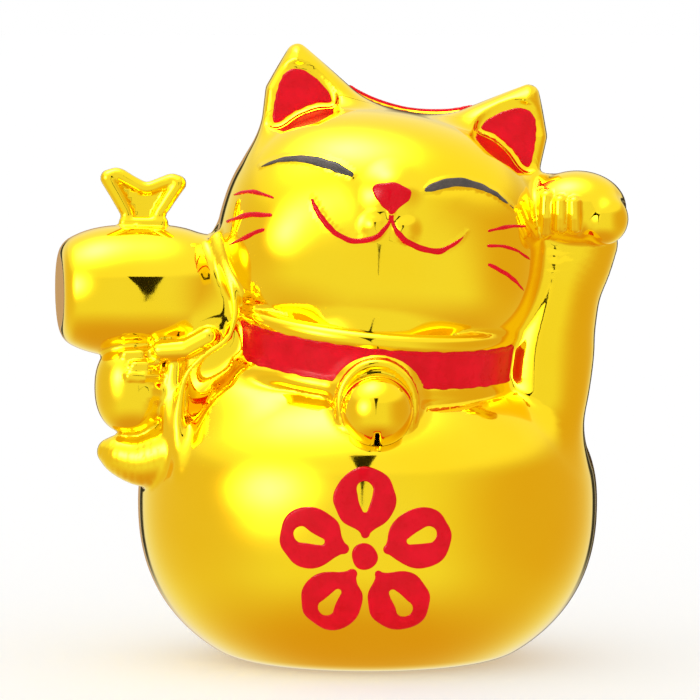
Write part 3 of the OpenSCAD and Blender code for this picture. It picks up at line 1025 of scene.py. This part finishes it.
def material(name, values):
    """A material with its shader, node helper and object coordinates."""
    mat = bpy.data.materials.new(name)
    mat.use_nodes = True
    shader = mat.node_tree.nodes["Principled BSDF"]
    for key, value in values.items():
        shader.inputs[key].default_value = value
    nodes = Nodes(mat.node_tree)
    where = nodes.add("ShaderNodeTexCoord").outputs["Object"]
    return mat, shader, nodes, where


def gold_plating():
    """Mirror plating over moulded plastic: faint orange peel, grain in the highlights, handling marks."""
    mat, shader, nodes, where = material("gold_plating", {"Metallic": 1.0, "Base Color": (1, 0.7, 0.02, 1)})
    cloud = nodes.noise(where, 22, 3)
    tint = nodes.mix(nodes.ramp(cloud, 0.3, 0.7), (1.0, 0.705, 0.016, 1), (1.0, 0.73, 0.022, 1))
    nodes.plug(shader.inputs["Base Color"], tint)
    haze = nodes.ramp(nodes.noise(where, 9, 4, 0.6), 0.35, 0.75, 0.035, 0.085)
    wipe = nodes.ramp(nodes.noise(where, 3.2, 6, 0.65, (1, 1, 0.25)), 0.62, 0.75, 0.0, 0.06)
    nodes.plug(shader.inputs["Roughness"], nodes.calc("ADD", haze, wipe))
    peel = nodes.bump(nodes.noise(where, 5, 2, 0.4), 0.012)
    grain = nodes.bump(nodes.noise(where, 0.35, 2, 0.6), 0.0012, 1.0, peel)
    nodes.plug(shader.inputs["Normal"], grain)
    return mat


def enamel(name, deep, thin, rough):
    """Brushed-on gloss paint: deep and thin colour in random patches, soft brush drag and tiny craters."""
    values = {"Specular IOR Level": 0.08, "Coat Weight": 0.16, "Coat Roughness": 0.08}
    mat, shader, nodes, where = material(name, values)
    body = nodes.ramp(nodes.noise(where, 4, 4, 0.6), 0.35, 0.7)
    nodes.plug(shader.inputs["Base Color"], nodes.mix(body, (*deep, 1), (*thin, 1)))
    patchy = nodes.noise(where, 2, 4, 0.6)
    nodes.plug(shader.inputs["Roughness"], nodes.ramp(patchy, 0.3, 0.7, rough, rough + 0.14))
    drag = nodes.bump(nodes.noise(where, 2.4, 3, 0.5, (0.35, 1, 1)), 0.05)
    crater = nodes.add("ShaderNodeTexVoronoi", {"Vector": where, "Scale": 420.0}).outputs["Distance"]
    pits = nodes.bump(nodes.ramp(crater, 0.02, 0.09), 0.02, 0.7, drag)
    nodes.plug(shader.inputs["Normal"], pits)
    return mat


def soft_rubber():
    """Matt black rubber with dust in it."""
    mat, shader, nodes, where = material("stopper_rubber", {"Sheen Weight": 0.1})
    dust = nodes.ramp(nodes.noise(where, 6, 5, 0.65), 0.45, 0.8)
    tint = nodes.mix(dust, (0.022, 0.022, 0.024, 1), (0.06, 0.058, 0.055, 1))
    nodes.plug(shader.inputs["Base Color"], tint)
    patchy = nodes.noise(where, 1.5, 4, 0.6)
    nodes.plug(shader.inputs["Roughness"], nodes.ramp(patchy, 0.3, 0.7, 0.5, 0.75))
    nodes.plug(shader.inputs["Normal"], nodes.bump(nodes.noise(where, 0.5, 3, 0.6), 0.02))
    return mat


GOLD = gold_plating()
RED = enamel("red_enamel", (0.7, 0.0, 0.008), (0.82, 0.0, 0.014), 0.25)
GREY = enamel("eye_enamel", (0.075, 0.062, 0.055), (0.13, 0.1, 0.085), 0.4)
RUBBER = soft_rubber()


def finish_piece(piece, node, mat, body="figure"):
    piece.data.materials.clear()
    piece.data.materials.append(mat)
    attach(piece, body)
    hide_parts(node)


# ---------------------------------------------------------------- camera, floor and light


def make_floor():
    """Plain pale floor; it gives a little light of its own and isn't mirrored in the gold."""
    floor = block("floor", (-6000, -6000, -6), (6000, 6000, 0))
    floor.visible_glossy = False
    pale = material("pale_floor", {"Base Color": (0.74, 0.74, 0.74, 1), "Roughness": 0.7,
                                   "Specular IOR Level": 0.0, "Emission Color": (1, 1, 1, 1),
                                   "Emission Strength": 0.3})[0]
    floor.data.materials.append(pale)


def make_camera():
    """Straight in front of the figure and a little above it."""
    elevation = math.radians(CAMERA_DOWN)
    back = Vector((0, -math.cos(elevation), math.sin(elevation)))
    camera = bpy.data.objects.new("camera", bpy.data.cameras.new("camera"))
    bpy.context.scene.collection.objects.link(camera)
    camera.location = Vector(CAMERA_AIM) * UNIT + back * CAMERA_FAR
    camera.rotation_euler = (-back).to_track_quat("-Z", "Y").to_euler()
    camera.data.lens = camera.data.sensor_width * CAMERA_FAR / CAMERA_WIDTH
    bpy.context.scene.camera = camera


def studio_world():
    """White tent round the figure: bright roof, hot spots, warm dim sides and dark seams behind."""
    world = bpy.data.worlds.new("studio")
    world.use_nodes = True
    nodes = Nodes(world.node_tree)
    where = nodes.add("ShaderNodeTexCoord").outputs["Generated"]
    x, y, z = nodes.add("ShaderNodeSeparateXYZ", {0: where}).outputs

    def spot(direction, width, height):
        """Soft round light about a direction; width in degrees."""
        aim = Vector(direction).normalized()
        dot = nodes.add("ShaderNodeVectorMath", {0: where, 1: tuple(aim)}, operation="DOT_PRODUCT")
        spread = 1 / (1 - math.cos(math.radians(width)))
        power = nodes.calc("MULTIPLY", nodes.calc("SUBTRACT", dot.outputs["Value"], 1.0), spread)
        return nodes.calc("MULTIPLY", nodes.calc("EXPONENT", power), height)

    tent = nodes.ramp(z, 0.4, 0.52, 0.91, 1.02)
    hot = nodes.calc("ADD", spot((-0.25, -0.1, 0.96), 18, 15.0), spot((-0.69, -0.68, 0.22), 13, 15.0))
    warm = nodes.mix(nodes.ramp(x, 0.35, 1.0), (1, 1, 1, 1), (0.82, 0.56, 0.3, 1))
    warm = nodes.mix(nodes.ramp(x, -0.5, -1.0), warm, (0.9, 0.74, 0.6, 1))
    warm = nodes.mix(nodes.ramp(z, 0.3, 0.6), warm, (1, 1, 1, 1))
    warm = nodes.mix(nodes.ramp(z, -0.45, -1.0), warm, (0.78, 0.46, 0.24, 1))
    low = nodes.ramp(nodes.calc("ABSOLUTE", z), 0.15, 0.4, 1.0, 0.0)
    seam = nodes.calc("MULTIPLY", nodes.ramp(y, 0.84, 0.88), nodes.ramp(y, 0.95, 0.92))
    tent = nodes.calc("MULTIPLY", tent, nodes.ramp(nodes.calc("MULTIPLY", seam, low), 0, 1, 1.0, 0.04))
    rear = nodes.mix(nodes.ramp(x, -0.1, 0.1), (0.6, 0.4, 0.26, 1), (0.06, 0.035, 0.02, 1))
    warm = nodes.mix(nodes.calc("MULTIPLY", nodes.ramp(y, 0.93, 0.95), low), warm, rear)
    gloss = nodes.add("ShaderNodeBackground", {0: warm, 1: nodes.calc("ADD", tent, hot)})
    matt = nodes.add("ShaderNodeBackground", {0: (1, 1, 1, 1), 1: 0.95})
    plain = nodes.add("ShaderNodeBackground", {0: (1, 1, 1, 1), 1: 1.0})
    ray = nodes.add("ShaderNodeLightPath").outputs
    seen = matt.outputs[0]
    for kind, light in (("Is Glossy Ray", gloss), ("Is Camera Ray", plain)):
        seen = nodes.add("ShaderNodeMixShader", {0: ray[kind], 1: seen, 2: light.outputs[0]}).outputs[0]
    nodes.plug(world.node_tree.nodes["World Output"].inputs["Surface"], seen)
    bpy.context.scene.world = world


def tent_opening():
    """Dark gap between the tent's two front sheets, seen only in reflections."""
    y = -136
    widths = ((15, 146), (5.6, 106), (0.8, 66), (0.2, 40))
    corners = [(x, y, z) for x, z in widths] + [(-x, y, z) for x, z in widths[::-1]]
    gap = new_object("tent_opening", np.array(corners), [tuple(range(len(corners)))])
    gap.visible_camera = False
    gap.visible_diffuse = False
    gap.visible_shadow = False
    dark = material("tent_gap", {"Base Color": (0.012, 0.01, 0.008, 1), "Roughness": 1.0})[0]
    gap.data.materials.append(dark)


# ---------------------------------------------------------------- build

cat = figure()
front, rear = make_shells(cat, 0.7)
finish_piece(front, "front_shell", GOLD)
finish_piece(rear, "rear_shell", GOLD)
for piece, node, mat in make_paint(cat, 0.28):
    finish_piece(piece, node, mat)
finish_piece(make_bell(), "bell", GOLD)
finish_piece(make_base_plate(), "base_plate", GOLD)
finish_piece(make_stopper(), "base_stopper", RUBBER, "stopper")

make_floor()
make_camera()
tent_opening()
studio_world()
bpy.context.scene.view_settings.view_transform = "Standard"
